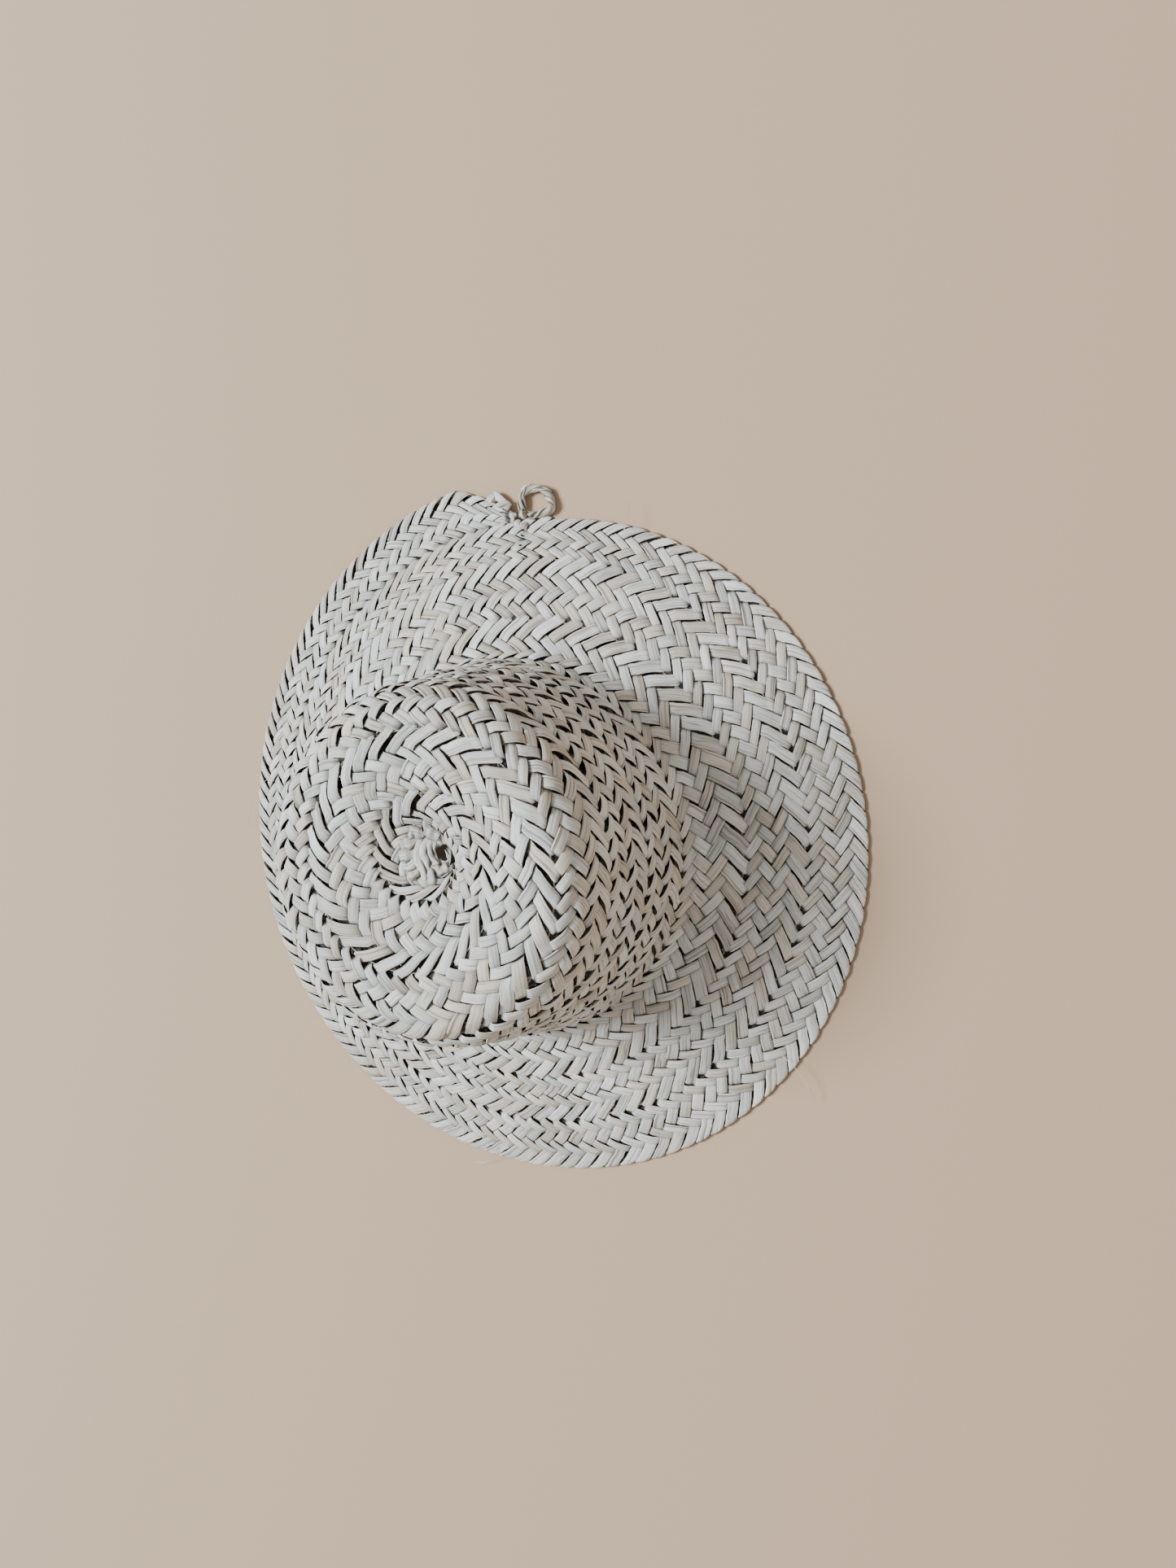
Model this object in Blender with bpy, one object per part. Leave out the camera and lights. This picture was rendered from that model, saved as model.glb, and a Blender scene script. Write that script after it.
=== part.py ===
"""A plaited palm-leaf hat: one long flat plait wound as a spiral from the middle of the tip out
to the rim and sewn edge to edge with a palm cord, and a twisted hanging loop on the plait's end.

The hat stands on its brim with the crown up. +Z is up, +Y points to the hanging loop, and the
origin is the middle of the whole hat's box, on the surface that the brim rests on. A place on
the plait is given by its turn, which is 0 at the plait's end and counts down towards the tip,
and by its way along the hat's profile, measured from the tip's middle."""

import math

import bmesh
import bpy
from mathutils import Vector

# Plait
PLAIT_WIDTH = 0.029
PLAIT_THICKNESS = 0.0026
NARROW_WIDTH = 0.021  # where the last turn but one is pulled in, next to the plait's end
FIRST_TURN = -(8 + 39 / 48)
STEPS_PER_TURN = 48
JOIN_GAP = 0.0003  # between any two neighbours
GROOVE_DEPTH = 0.0012  # the hollow along a plait edge that the seam cord lies in
TIP_HOLE = 0.0020  # the small hole that the first coil leaves
SEAM_CORD_HALF_WIDTH = 0.00085
SEAM_CORD_HALF_HEIGHT = 0.00095

# Profile: corners (radius, height) from the tip's middle to the rim, with their fillet radii
TIP_MIDDLE = (0.0, 0.0990)
TIP_RING = (0.045, 0.1100)
SHOULDER = (0.0756, 0.1093)
CROWN_FOOT = (0.0909, 0.0212)
RIM = (0.180, -0.0008)
TIP_RING_FILLET = 0.060
SHOULDER_FILLET = 0.016
CROWN_FOOT_FILLET = 0.012
CROWN_OFFSET = (-0.003, -0.005)  # the crown stands a little off the rim's middle
CROWN_OFFSET_ENDS = (0.14, 0.20)  # the ways along the profile between which it fades out
COIL_OFFSET = (0.005, 0.0035)  # the plait starts a little off the crown's middle
COIL_OFFSET_ENDS = (0.005, 0.055)

# Rim
RIM_GROWTH = 0.025  # how much the rim's radius grows over the last turn
RIM_GROWTH_TURNS = 0.49  # the share of a turn in which most of that growth happens
SEAM_ANGLE = math.radians(92)  # where the plait ends, seen from above
RIM_LAND = 0.006  # the outer edge's flat strip, which rests on the surface
SETTLE_TURNS = (-1.25, -0.90)  # over this stretch the edge comes down to the surface
TAIL_TURNS = 0.035  # the plait's end narrows over this share of a turn
TAIL_END = -0.005
TAIL_WIDTH = 0.0030

# Hanging loop and its knot, in metres from the knot's middle, seen from above
KNOT_PLACE = (-0.0060, 0.1586)
KNOT_RADIUS = 0.0025
LOOP_ROUTE = [
    (-0.0002, 0.0029), (-0.0006, 0.0058), (-0.0003, 0.0098), (0.0035, 0.0122),
    (0.0085, 0.0122), (0.0128, 0.0098), (0.0156, 0.0058), (0.0158, 0.0022),
    (0.0128, 0.0004), (0.0082, -0.0003), (0.0030, -0.0004),
]
LOOP_RADIUS = 0.0022
LOOP_END_RADIUS = 0.0014
LOOP_SIDES = 10
LOOP_STEPS_PER_SPAN = 3

# Folded strip that closes the plait's end
FOLD_CORNERS = [(-0.0285, 0.1672), (-0.0175, 0.1622), (-0.0182, 0.1640), (-0.0252, 0.1682)]
FOLD_THICKNESS = 0.0012

PALM_WHITE = (0.62, 0.60, 0.55)
PALM_SHADED = (0.52, 0.49, 0.43)
PALM_CORD = (0.50, 0.45, 0.36)

TURNS = [
    ("tip_start_coil", FIRST_TURN, -8, 2),
    ("tip_turn", -8, -7, 2),
    ("shoulder_turn", -7, -6, 4),
    ("upper_side_turn", -6, -5, 4),
    ("middle_side_turn", -5, -4, 2),
    ("lower_side_turn", -4, -3, 4),
    ("brim_inner_turn", -3, -2, 4),
    ("brim_middle_turn", -2, -1, 2),
    ("rim_turn", -1, TAIL_END, 3),
]


def clear_scene():
    for obj in list(bpy.data.objects):
        bpy.data.objects.remove(obj, do_unlink=True)


def material(name, colour, roughness):
    made = bpy.data.materials.new(name)
    made.use_nodes = True
    shader = made.node_tree.nodes["Principled BSDF"]
    shader.inputs["Base Color"].default_value = (*colour, 1)
    shader.inputs["Roughness"].default_value = roughness
    shader.inputs["Metallic"].default_value = 0.0
    made.diffuse_color = (*colour, 1)
    return made


def smooth(x):
    x = min(max(x, 0.0), 1.0)
    return x * x * (3 - 2 * x)


# ---- the hat's profile ----------------------------------------------------------------------


def filleted(corners, fillets):
    """Straight and round stretches of an outline: (length, function of the way along it)."""
    corners = [Vector(c) for c in corners]
    stretches = []
    start = corners[0]
    for before, corner, after, radius in zip(corners, corners[1:], corners[2:], fillets):
        way_in = (corner - before).normalized()
        way_out = (after - corner).normalized()
        turn = way_in.angle_signed(way_out)
        cut = radius * math.tan(abs(turn) / 2)
        arc_start = corner - way_in * cut
        stretches.append(straight(start, arc_start))
        stretches.append(rounded(arc_start, way_in, radius, turn))
        start = corner + way_out * cut
    stretches.append(straight(start, corners[-1]))
    return stretches


def straight(start, end):
    way = (end - start).normalized()
    return (end - start).length, lambda x: (start + way * x, way)


def rounded(start, way, radius, turn):
    # angle_signed counts clockwise as positive
    side = Vector((way.y, -way.x)) * math.copysign(1, turn)
    middle = start + side * radius

    def at(x):
        angle = x / radius
        return (
            middle - side * radius * math.cos(angle) + way * radius * math.sin(angle),
            way * math.cos(angle) + side * math.sin(angle),
        )

    return radius * abs(turn), at


PROFILE = filleted(
    [TIP_MIDDLE, TIP_RING, SHOULDER, CROWN_FOOT, RIM],
    [TIP_RING_FILLET, SHOULDER_FILLET, CROWN_FOOT_FILLET],
)
PROFILE_LENGTH = sum(length for length, _ in PROFILE)
BRIM_SLOPE = math.atan2(CROWN_FOOT[1] - RIM[1], RIM[0] - CROWN_FOOT[0])


def raw_profile(way):
    """The profile's point and direction at a way along it."""
    for length, at in PROFILE[:-1]:
        if way < length:
            return at(way)
        way -= length
    return PROFILE[-1][1](way)


LIFT = PLAIT_THICKNESS / 2 - raw_profile(PROFILE_LENGTH - RIM_LAND)[0].y


def profile(way):
    point, along = raw_profile(way)
    return point.x, point.y + LIFT, along


# ---- the plait's spiral ---------------------------------------------------------------------


def outer_way(turn):
    """How far along the profile the plait's outer edge is, with no account of its tail."""
    if turn >= -1:
        full = 1 - math.exp(-1 / RIM_GROWTH_TURNS)
        grown = (1 - math.exp(-(turn + 1) / RIM_GROWTH_TURNS)) / full
        return PROFILE_LENGTH - RIM_GROWTH * (1 - grown) / math.cos(BRIM_SLOPE)
    if turn >= -2:
        return outer_way(-1) - NARROW_WIDTH * (-1 - turn)
    return outer_way(-2) - PLAIT_WIDTH * (-2 - turn)


def edges(turn):
    """The ways along the profile of the plait's inner and outer edge."""
    inner = max(outer_way(turn - 1), TIP_HOLE)
    outer = outer_way(turn)
    if turn > -TAIL_TURNS:
        narrow = inner + TAIL_WIDTH
        share = (TAIL_END - turn) / (TAIL_TURNS + TAIL_END)
        outer = narrow + (outer - narrow) * max(share, 0.0) ** 0.85
    return inner, outer


def settle(turn):
    """How much the outer edge is lowered at a turn, to rest on the surface."""
    first, last = SETTLE_TURNS
    if turn < first:
        return 0.0
    land_start = outer_way(turn) - (RIM_LAND if turn >= -1 else 0.0)
    return (PLAIT_THICKNESS / 2 - profile(land_start)[1]) * smooth((turn - first) / (last - first))


def plait_point(turn, way, out):
    """A place in the plait: the turn, the way along the profile and the height off its middle."""
    inner, outer = edges(turn)
    resting = turn >= -1 and way > outer - RIM_LAND - JOIN_GAP
    land_start = outer - RIM_LAND if turn >= -1 else outer
    share = (min(way, land_start) - inner) / max(land_start - inner, 1e-6)
    share = min(max(share, 0.0), 1.0)
    lowered = settle(turn - 1) * (1 - share) + settle(turn) * share
    radius, height, along = profile(way)
    if resting:
        height = profile(max(land_start, inner))[1]
        if turn > -TAIL_TURNS:
            height = PLAIT_THICKNESS / 2 - lowered
        along = Vector((1, 0))
    radius -= along.y * out
    height += along.x * out + lowered
    angle = SEAM_ANGLE - 2 * math.pi * turn
    place = Vector((radius * math.cos(angle), radius * math.sin(angle), height))
    for offset, (first, last) in ((CROWN_OFFSET, CROWN_OFFSET_ENDS), (COIL_OFFSET, COIL_OFFSET_ENDS)):
        share = 1 - smooth((way - first) / (last - first))
        place += Vector((*offset, 0)) * share
    return place


def stations(first, last):
    """Turns at which the plait is drawn: every step, and closer together along its tail."""
    found = [first]
    step = math.floor(first * STEPS_PER_TURN) + 1
    while step / STEPS_PER_TURN < last - 1e-9:
        found.append(step / STEPS_PER_TURN)
        step += 1
    found.append(last)
    if last > -TAIL_TURNS:
        found = [t for t in found if t < -TAIL_TURNS]
        found += [TAIL_END - (TAIL_TURNS + TAIL_END) * k / 5 for k in range(5, -1, -1)]
    return found


# ---- solids ---------------------------------------------------------------------------------


def loft(name, rings, mat, is_smooth=True):
    """One closed body through rings of points. Each cap joins a ring's upper and lower side."""
    mesh = bpy.data.meshes.new(name)
    work = bmesh.new()
    rows = [[work.verts.new(point) for point in ring] for ring in rings]
    for row, following in zip(rows, rows[1:]):
        for i, vert in enumerate(row):
            j = (i + 1) % len(row)
            work.faces.new((vert, row[j], following[j], following[i]))
    for row in (rows[0], rows[-1]):
        last = len(row) - 2
        for k in range(last // 2 - 1):
            work.faces.new((row[k], row[k + 1], row[last - k - 1], row[last - k]))
        work.faces.new(row[last // 2 - 1:last // 2 + 2])
        work.faces.new((row[last], row[last + 1], row[0]))
    bmesh.ops.recalc_face_normals(work, faces=work.faces)
    work.to_mesh(mesh)
    work.free()
    if is_smooth:
        mesh.shade_smooth()
        mesh.set_sharp_from_angle(angle=math.radians(35))
    obj = bpy.data.objects.new(name, mesh)
    bpy.context.scene.collection.objects.link(obj)
    mesh.materials.append(mat)
    return obj


def plait_section(turn, spans, is_rim):
    """The plait's cross-section: flat top and bottom, a groove along each sewn edge."""
    inner, outer = edges(turn)
    half = PLAIT_THICKNESS / 2
    low, high = inner + JOIN_GAP / 2, outer - JOIN_GAP / 2
    groove = min(GROOVE_DEPTH, (high - low) * 0.3)
    is_open = inner <= TIP_HOLE
    ways = [low + (high - low) * k / spans for k in range(spans + 1)]
    if is_rim:
        land = min(RIM_LAND - JOIN_GAP / 2, (high - low) * 0.6)
        ways = [low + (high - land - low) * k / (spans - 1) for k in range(spans)]
        ways.append(high - groove)
    points = [plait_point(turn, way, half) for way in ways]
    points.append(plait_point(turn, high if is_rim else high - groove, 0))
    points += [plait_point(turn, way, -half) for way in reversed(ways)]
    points.append(plait_point(turn, low if is_open else low + groove, 0))
    return points


def plait_turn(name, first, last, spans, mat):
    """One turn of the plait, with a thin cut to the turns before and after it."""
    turns = stations(first, last)
    radius = profile((sum(edges(first)) + sum(edges(last))) / 4)[0]
    cut = JOIN_GAP / (4 * math.pi * radius)
    turns[0] += cut
    turns[-1] -= cut
    is_rim = first == -1
    return loft(name, [plait_section(turn, spans, is_rim) for turn in turns], mat)


def seam_cord(name, first, last, mat):
    """The cord in the grooves between a turn and the one inside it."""
    turns = stations(first, last)
    rings = []
    for turn in turns:
        way = edges(turn)[0]
        rings.append([
            plait_point(turn, way + across * SEAM_CORD_HALF_WIDTH, out * SEAM_CORD_HALF_HEIGHT)
            for across, out in ((1, 0), (0, 1), (-1, 0), (0, -1))
        ])
    start = rings[0][0] - rings[1][0]
    end = rings[-1][0] - rings[-2][0]
    for ring, way in ((rings[0], start), (rings[-1], end)):
        for point in ring:
            point -= way.normalized() * JOIN_GAP / 2
    return loft(name, rings, mat)


def curve_through(points, steps):
    """A smooth curve (Catmull-Rom) through the given points."""
    padded = [points[0] * 2 - points[1], *points, points[-1] * 2 - points[-2]]
    found = []
    for a, b, c, d in zip(padded, padded[1:], padded[2:], padded[3:]):
        for k in range(steps):
            x = k / steps
            found.append(0.5 * (
                2 * b + (c - a) * x + (2 * a - 5 * b + 4 * c - d) * x ** 2
                + (3 * b - a - 3 * c + d) * x ** 3
            ))
    found.append(points[-1])
    return found


def hanging_loop(name, mat):
    """The twisted loop as a plain tube that thins towards its two ends at the knot."""
    middle = Vector((*KNOT_PLACE, 0))
    route = [middle + Vector((x, y, LOOP_RADIUS + 0.0001)) for x, y in LOOP_ROUTE]
    path = curve_through(route, LOOP_STEPS_PER_SPAN)
    rings = []
    for k, point in enumerate(path):
        way = path[min(k + 1, len(path) - 1)] - path[max(k - 1, 0)]
        side = way.cross(Vector((0, 0, 1))).normalized()
        from_end = min(k, len(path) - 1 - k) / LOOP_STEPS_PER_SPAN
        radius = LOOP_END_RADIUS + (LOOP_RADIUS - LOOP_END_RADIUS) * smooth(from_end / 2)
        angles = [2 * math.pi * n / LOOP_SIDES for n in range(LOOP_SIDES)]
        rings.append([
            point + side * radius * math.cos(a) + Vector((0, 0, radius * math.sin(a)))
            for a in angles
        ])
    return loft(name, rings, mat)


def loop_knot(name, mat):
    mesh = bpy.data.meshes.new(name)
    work = bmesh.new()
    bmesh.ops.create_uvsphere(work, u_segments=16, v_segments=10, radius=KNOT_RADIUS)
    work.to_mesh(mesh)
    work.free()
    mesh.shade_smooth()
    obj = bpy.data.objects.new(name, mesh)
    bpy.context.scene.collection.objects.link(obj)
    mesh.materials.append(mat)
    obj.location = (*KNOT_PLACE, KNOT_RADIUS + 0.0001)
    return obj


def plait_end_fold(name, mat):
    """The last strand, folded over the narrow end of the plait."""
    low = PLAIT_THICKNESS + JOIN_GAP
    rings = [
        [Vector((x, y, height)) for x, y in FOLD_CORNERS]
        for height in (low, low + FOLD_THICKNESS)
    ]
    return loft(name, rings, mat, is_smooth=False)


def centre_on_box(objects):
    """Moves everything so that the origin is the middle of the box's lowest face."""
    bpy.context.view_layer.update()
    corners = [obj.matrix_world @ vert.co for obj in objects for vert in obj.data.vertices]
    middle = [(min(c[k] for c in corners) + max(c[k] for c in corners)) / 2 for k in range(2)]
    lowest = min(c.z for c in corners)
    for obj in objects:
        obj.location -= Vector((*middle, lowest))


def main():
    clear_scene()
    white = material("palm_white", PALM_WHITE, 0.75)
    shaded = material("palm_shaded", PALM_SHADED, 0.8)
    cord = material("palm_cord", PALM_CORD, 0.85)
    objects = []
    for number, (name, first, last, spans) in enumerate(TURNS):
        mat = white if number % 2 == 0 else shaded
        objects.append(plait_turn(name, first, last, spans, mat))
    for name, first, last, _ in TURNS[1:]:
        start = max(first, FIRST_TURN + 1)
        objects.append(seam_cord("seam_cord_" + name.replace("_turn", ""), start, last, cord))
    objects.append(plait_end_fold("plait_end_fold", white))
    objects.append(loop_knot("loop_knot", shaded))
    objects.append(hanging_loop("hanging_loop", white))
    centre_on_box(objects)


main()
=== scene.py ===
"""The looks of a plaited palm-leaf hat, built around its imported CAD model.

The hat is one flat nine-strand plait wound as a spiral. A place on it is given by its turn, 0 at
the plait's end and counting down to the tip, and by its way along the hat's profile from the
tip's middle. Sizes are in metres, except in the weave, whose own units are explained there."""

import math

import bpy
import numpy as np
from mathutils import Euler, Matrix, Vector

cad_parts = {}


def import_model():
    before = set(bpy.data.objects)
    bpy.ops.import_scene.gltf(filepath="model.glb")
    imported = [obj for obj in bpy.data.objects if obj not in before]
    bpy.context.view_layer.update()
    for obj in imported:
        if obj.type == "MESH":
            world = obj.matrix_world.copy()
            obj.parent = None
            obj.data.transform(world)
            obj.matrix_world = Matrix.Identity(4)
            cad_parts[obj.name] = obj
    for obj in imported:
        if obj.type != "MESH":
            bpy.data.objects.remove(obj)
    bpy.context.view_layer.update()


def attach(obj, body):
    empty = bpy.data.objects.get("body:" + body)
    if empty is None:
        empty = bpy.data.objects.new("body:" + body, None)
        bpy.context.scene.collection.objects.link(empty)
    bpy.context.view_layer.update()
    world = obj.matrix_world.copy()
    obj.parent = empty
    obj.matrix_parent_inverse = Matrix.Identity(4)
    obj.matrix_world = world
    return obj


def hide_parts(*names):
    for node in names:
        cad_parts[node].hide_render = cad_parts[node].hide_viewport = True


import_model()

# ---- the plait's spiral, as in the CAD ------------------------------------------------------

PLAIT_WIDTH = 0.029
PLAIT_THICKNESS = 0.0026
NARROW_WIDTH = 0.021  # where the last turn but one is pulled in, next to the plait's end
FIRST_TURN = -(8 + 39 / 48)
TIP_HOLE = 0.0028  # the radius of the hole that the first coil leaves
CORNERS = [(0.0, 0.0990), (0.045, 0.1100), (0.0756, 0.1093), (0.0909, 0.0212), (0.180, -0.0008)]
FILLETS = [0.060, 0.016, 0.012]
OFFSETS = [  # how far rings stand aside, up to the first way, fading out by the second
    ((-0.003, -0.005), 0.14, 0.20),
    ((0.005, 0.0035), 0.005, 0.055),
    ((0.0030, 0.0028), 0.001, 0.024),  # the tip's middle, drawn aside where its strips gather
]
RIM_GROWTH = 0.025  # how much the rim's radius grows over the last turn
RIM_GROWTH_TURNS = 0.49
SEAM_ANGLE = math.radians(92)  # where the plait ends, seen from above
RIM_LAND = 0.006  # the outer edge's flat strip, which rests on the surface
SETTLE_TURNS = (-1.25, -0.90)  # over this stretch the edge comes down to the surface
TAIL_TURNS = 0.035  # the plait's end narrows over this share of a turn
TAIL_END = -0.005
TAIL_WIDTH = 0.0030
TAIL_ROUNDING = 0.85
CENTRE = np.array([0.005488, -0.000327, 0.0])  # the brim's middle in the shared frame
REST_HEIGHT = PLAIT_THICKNESS / 2
REST_SOFTNESS = 0.0005  # the brim meets the surface in a soft bend this high
FLOOR_CLEARANCE = 0.00005

TURNS = [
    ("tip_start_coil", FIRST_TURN, -8),
    ("tip_turn", -8, -7),
    ("shoulder_turn", -7, -6),
    ("upper_side_turn", -6, -5),
    ("middle_side_turn", -5, -4),
    ("lower_side_turn", -4, -3),
    ("brim_inner_turn", -3, -2),
    ("brim_middle_turn", -2, -1),
    ("rim_turn", -1, TAIL_END),
]


def smooth(x):
    """A smooth step from 0 to 1 as x goes from 0 to 1."""
    x = np.clip(x, 0.0, 1.0)
    return x * x * (3 - 2 * x)


def profile_table():
    """Rows of way, radius, height and direction along the hat's filleted profile."""
    corners = [np.array(corner) for corner in CORNERS]
    rows = []
    way = 0.0
    start = corners[0]
    for before, corner, after, radius in zip(corners, corners[1:], corners[2:], FILLETS):
        along = (corner - before) / np.linalg.norm(corner - before)
        onward = (after - corner) / np.linalg.norm(after - corner)
        turn = math.atan2(along[1] * onward[0] - along[0] * onward[1], along @ onward)
        arc_start = corner - along * radius * math.tan(abs(turn) / 2)
        rows.append((way, *start, *along))
        way += np.linalg.norm(arc_start - start)
        side = np.array((along[1], -along[0])) * math.copysign(1, turn)
        middle = arc_start + side * radius
        for angle in np.linspace(0, abs(turn), 40):
            point = middle - side * radius * math.cos(angle) + along * radius * math.sin(angle)
            heading = along * math.cos(angle) + side * math.sin(angle)
            rows.append((way + radius * angle, *point, *heading))
        way += radius * abs(turn)
        start = np.array(rows[-1][1:3])
    rows.append((way + np.linalg.norm(corners[-1] - start), *corners[-1], *onward))
    return np.array(rows)


PROFILE = profile_table()
PROFILE_LENGTH = PROFILE[-1, 0]
BRIM_SLOPE = math.atan2(-PROFILE[-1, 4], PROFILE[-1, 3])
LIFT = REST_HEIGHT - np.interp(PROFILE_LENGTH - RIM_LAND, PROFILE[:, 0], PROFILE[:, 2])


def profile(way):
    """Radius, height and direction (radius part, height part) at a way along the profile."""
    radius, height, run, rise = (np.interp(way, PROFILE[:, 0], PROFILE[:, k]) for k in range(1, 5))
    return radius, height + LIFT, run, rise


def outer_way(turn):
    """The way along the profile of the plait's outer edge, before the tail narrows."""
    full = 1 - math.exp(-1 / RIM_GROWTH_TURNS)
    grown = (1 - np.exp(-(np.maximum(turn, -1.0) + 1) / RIM_GROWTH_TURNS)) / full
    last = PROFILE_LENGTH - RIM_GROWTH * (1 - grown) / math.cos(BRIM_SLOPE)
    return last - NARROW_WIDTH * np.clip(-1 - turn, 0, 1) - PLAIT_WIDTH * np.maximum(-2 - turn, 0)


def edges(turn):
    """The ways along the profile of the plait's inner and outer edge."""
    inner = np.maximum(outer_way(turn - 1), TIP_HOLE)
    outer = outer_way(turn)
    share = np.clip((TAIL_END - turn) / (TAIL_TURNS + TAIL_END), 0, 1) ** TAIL_ROUNDING
    narrow = inner + TAIL_WIDTH
    return inner, np.where(turn > -TAIL_TURNS, narrow + (outer - narrow) * share, outer)


def settle(turn):
    """How much the outer edge is lowered at a turn, to rest on the surface."""
    first, last = SETTLE_TURNS
    land_start = outer_way(turn) - np.where(turn >= -1, RIM_LAND, 0.0)
    return (REST_HEIGHT - profile(land_start)[1]) * smooth((turn - first) / (last - first))


def middle_at(way):
    """The middle of the ring at a way along the profile."""
    found = CENTRE
    for (aside, up), first, last in OFFSETS:
        share = 1 - smooth((np.asarray(way)[..., None] - first) / (last - first))
        found = found + share * np.array([aside, up, 0.0])
    return found


def on_tip(points, out):
    """Places on the hat's tip, given in millimetres from its gathered middle, and a height."""
    places = middle_at(0.0) + np.array([(x, y, 0.0) for x, y in points]) / 1000
    way = np.full(len(places), 0.01)
    for _ in range(12):
        radius = np.linalg.norm((places - middle_at(way))[:, :2], axis=1)
        way = np.interp(radius, PROFILE[:60, 1], PROFILE[:60, 0])
    places[:, 2] = profile(way)[1] + out
    return places


def place(turn, way, out):
    """The place at a turn, a way along the profile and a height off the plait's middle."""
    inner, outer = edges(turn)
    land_start = outer - np.where(turn >= -1, RIM_LAND, 0.0)
    share = (np.minimum(way, land_start) - inner) / np.maximum(land_start - inner, 1e-6)
    share = np.clip(share, 0, 1)
    lowered = settle(turn - 1) * (1 - share) + settle(turn) * share
    radius, height, run, rise = profile(way)
    above = (height + lowered - REST_HEIGHT) / REST_SOFTNESS
    height = REST_HEIGHT + REST_SOFTNESS * np.logaddexp(0, above)
    rise = rise / (1 + np.exp(-np.clip(above, -40, 40)))
    angle = SEAM_ANGLE - 2 * math.pi * turn
    radius = radius - rise * out
    x = radius * np.cos(angle)
    y = radius * np.sin(angle)
    return np.stack([x, y, height + run * out], -1) + middle_at(way)


# ---- meshes ---------------------------------------------------------------------------------


def mesh_object(name, points, faces, mat, attributes=None):
    """A smooth-shaded mesh. faces is a list of arrays, each of faces with equally many corners."""
    mesh = bpy.data.meshes.new(name)
    counts = np.concatenate([np.full(len(f), f.shape[1]) for f in faces])
    corners = np.concatenate([f.ravel() for f in faces]).astype(np.int32)
    mesh.vertices.add(len(points))
    mesh.vertices.foreach_set("co", np.asarray(points, np.float32).ravel())
    mesh.loops.add(len(corners))
    mesh.loops.foreach_set("vertex_index", corners)
    mesh.polygons.add(len(counts))
    starts = np.concatenate([[0], np.cumsum(counts)[:-1]]).astype(np.int32)
    mesh.polygons.foreach_set("loop_start", starts)
    mesh.update(calc_edges=True)
    mesh.shade_smooth()
    for key, values in (attributes or {}).items():
        layer = mesh.attributes.new(key, "FLOAT_VECTOR", "POINT")
        layer.data.foreach_set("vector", np.asarray(values, np.float32).ravel())
    mesh.materials.append(mat)
    obj = bpy.data.objects.new(name, mesh)
    bpy.context.scene.collection.objects.link(obj)
    return obj


class Pieces:
    """Collects closed lofts, each through rings of equally many points, into one mesh."""

    def __init__(self):
        self.points = []
        self.faces = {}
        self.attributes = {}
        self.count = 0

    def add(self, rings, flipped=False, **attributes):
        rows, around = rings.shape[:2]
        index = self.count + np.arange(rows * around).reshape(rows, around)
        onward = np.roll(index, -1, axis=1)
        quads = np.stack([index[:-1], onward[:-1], onward[1:], index[1:]], -1).reshape(-1, 4)
        caps = np.stack([index[0, ::-1], index[-1]])
        if flipped:
            quads = quads[:, ::-1]
            caps = caps[:, ::-1]
        self.faces.setdefault(4, []).append(quads)
        self.faces.setdefault(around, []).append(caps)
        self.points.append(rings.reshape(-1, 3))
        for key, values in attributes.items():
            values = np.broadcast_to(values, (rows, around, 3)).reshape(-1, 3)
            self.attributes.setdefault(key, []).append(values)
        self.count += rows * around

    def build(self, name, mat):
        faces = [np.concatenate(found) for found in self.faces.values()]
        attributes = {key: np.concatenate(found) for key, found in self.attributes.items()}
        return mesh_object(name, np.concatenate(self.points), faces, mat, attributes)


def finished(pieces, name, mat, node, body):
    """The collected pieces as one object, which stands for a CAD node if one is named."""
    made = pieces.build(name, mat)
    if node:
        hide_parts(node)
    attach(made, body)


# ---- materials ------------------------------------------------------------------------------


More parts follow.
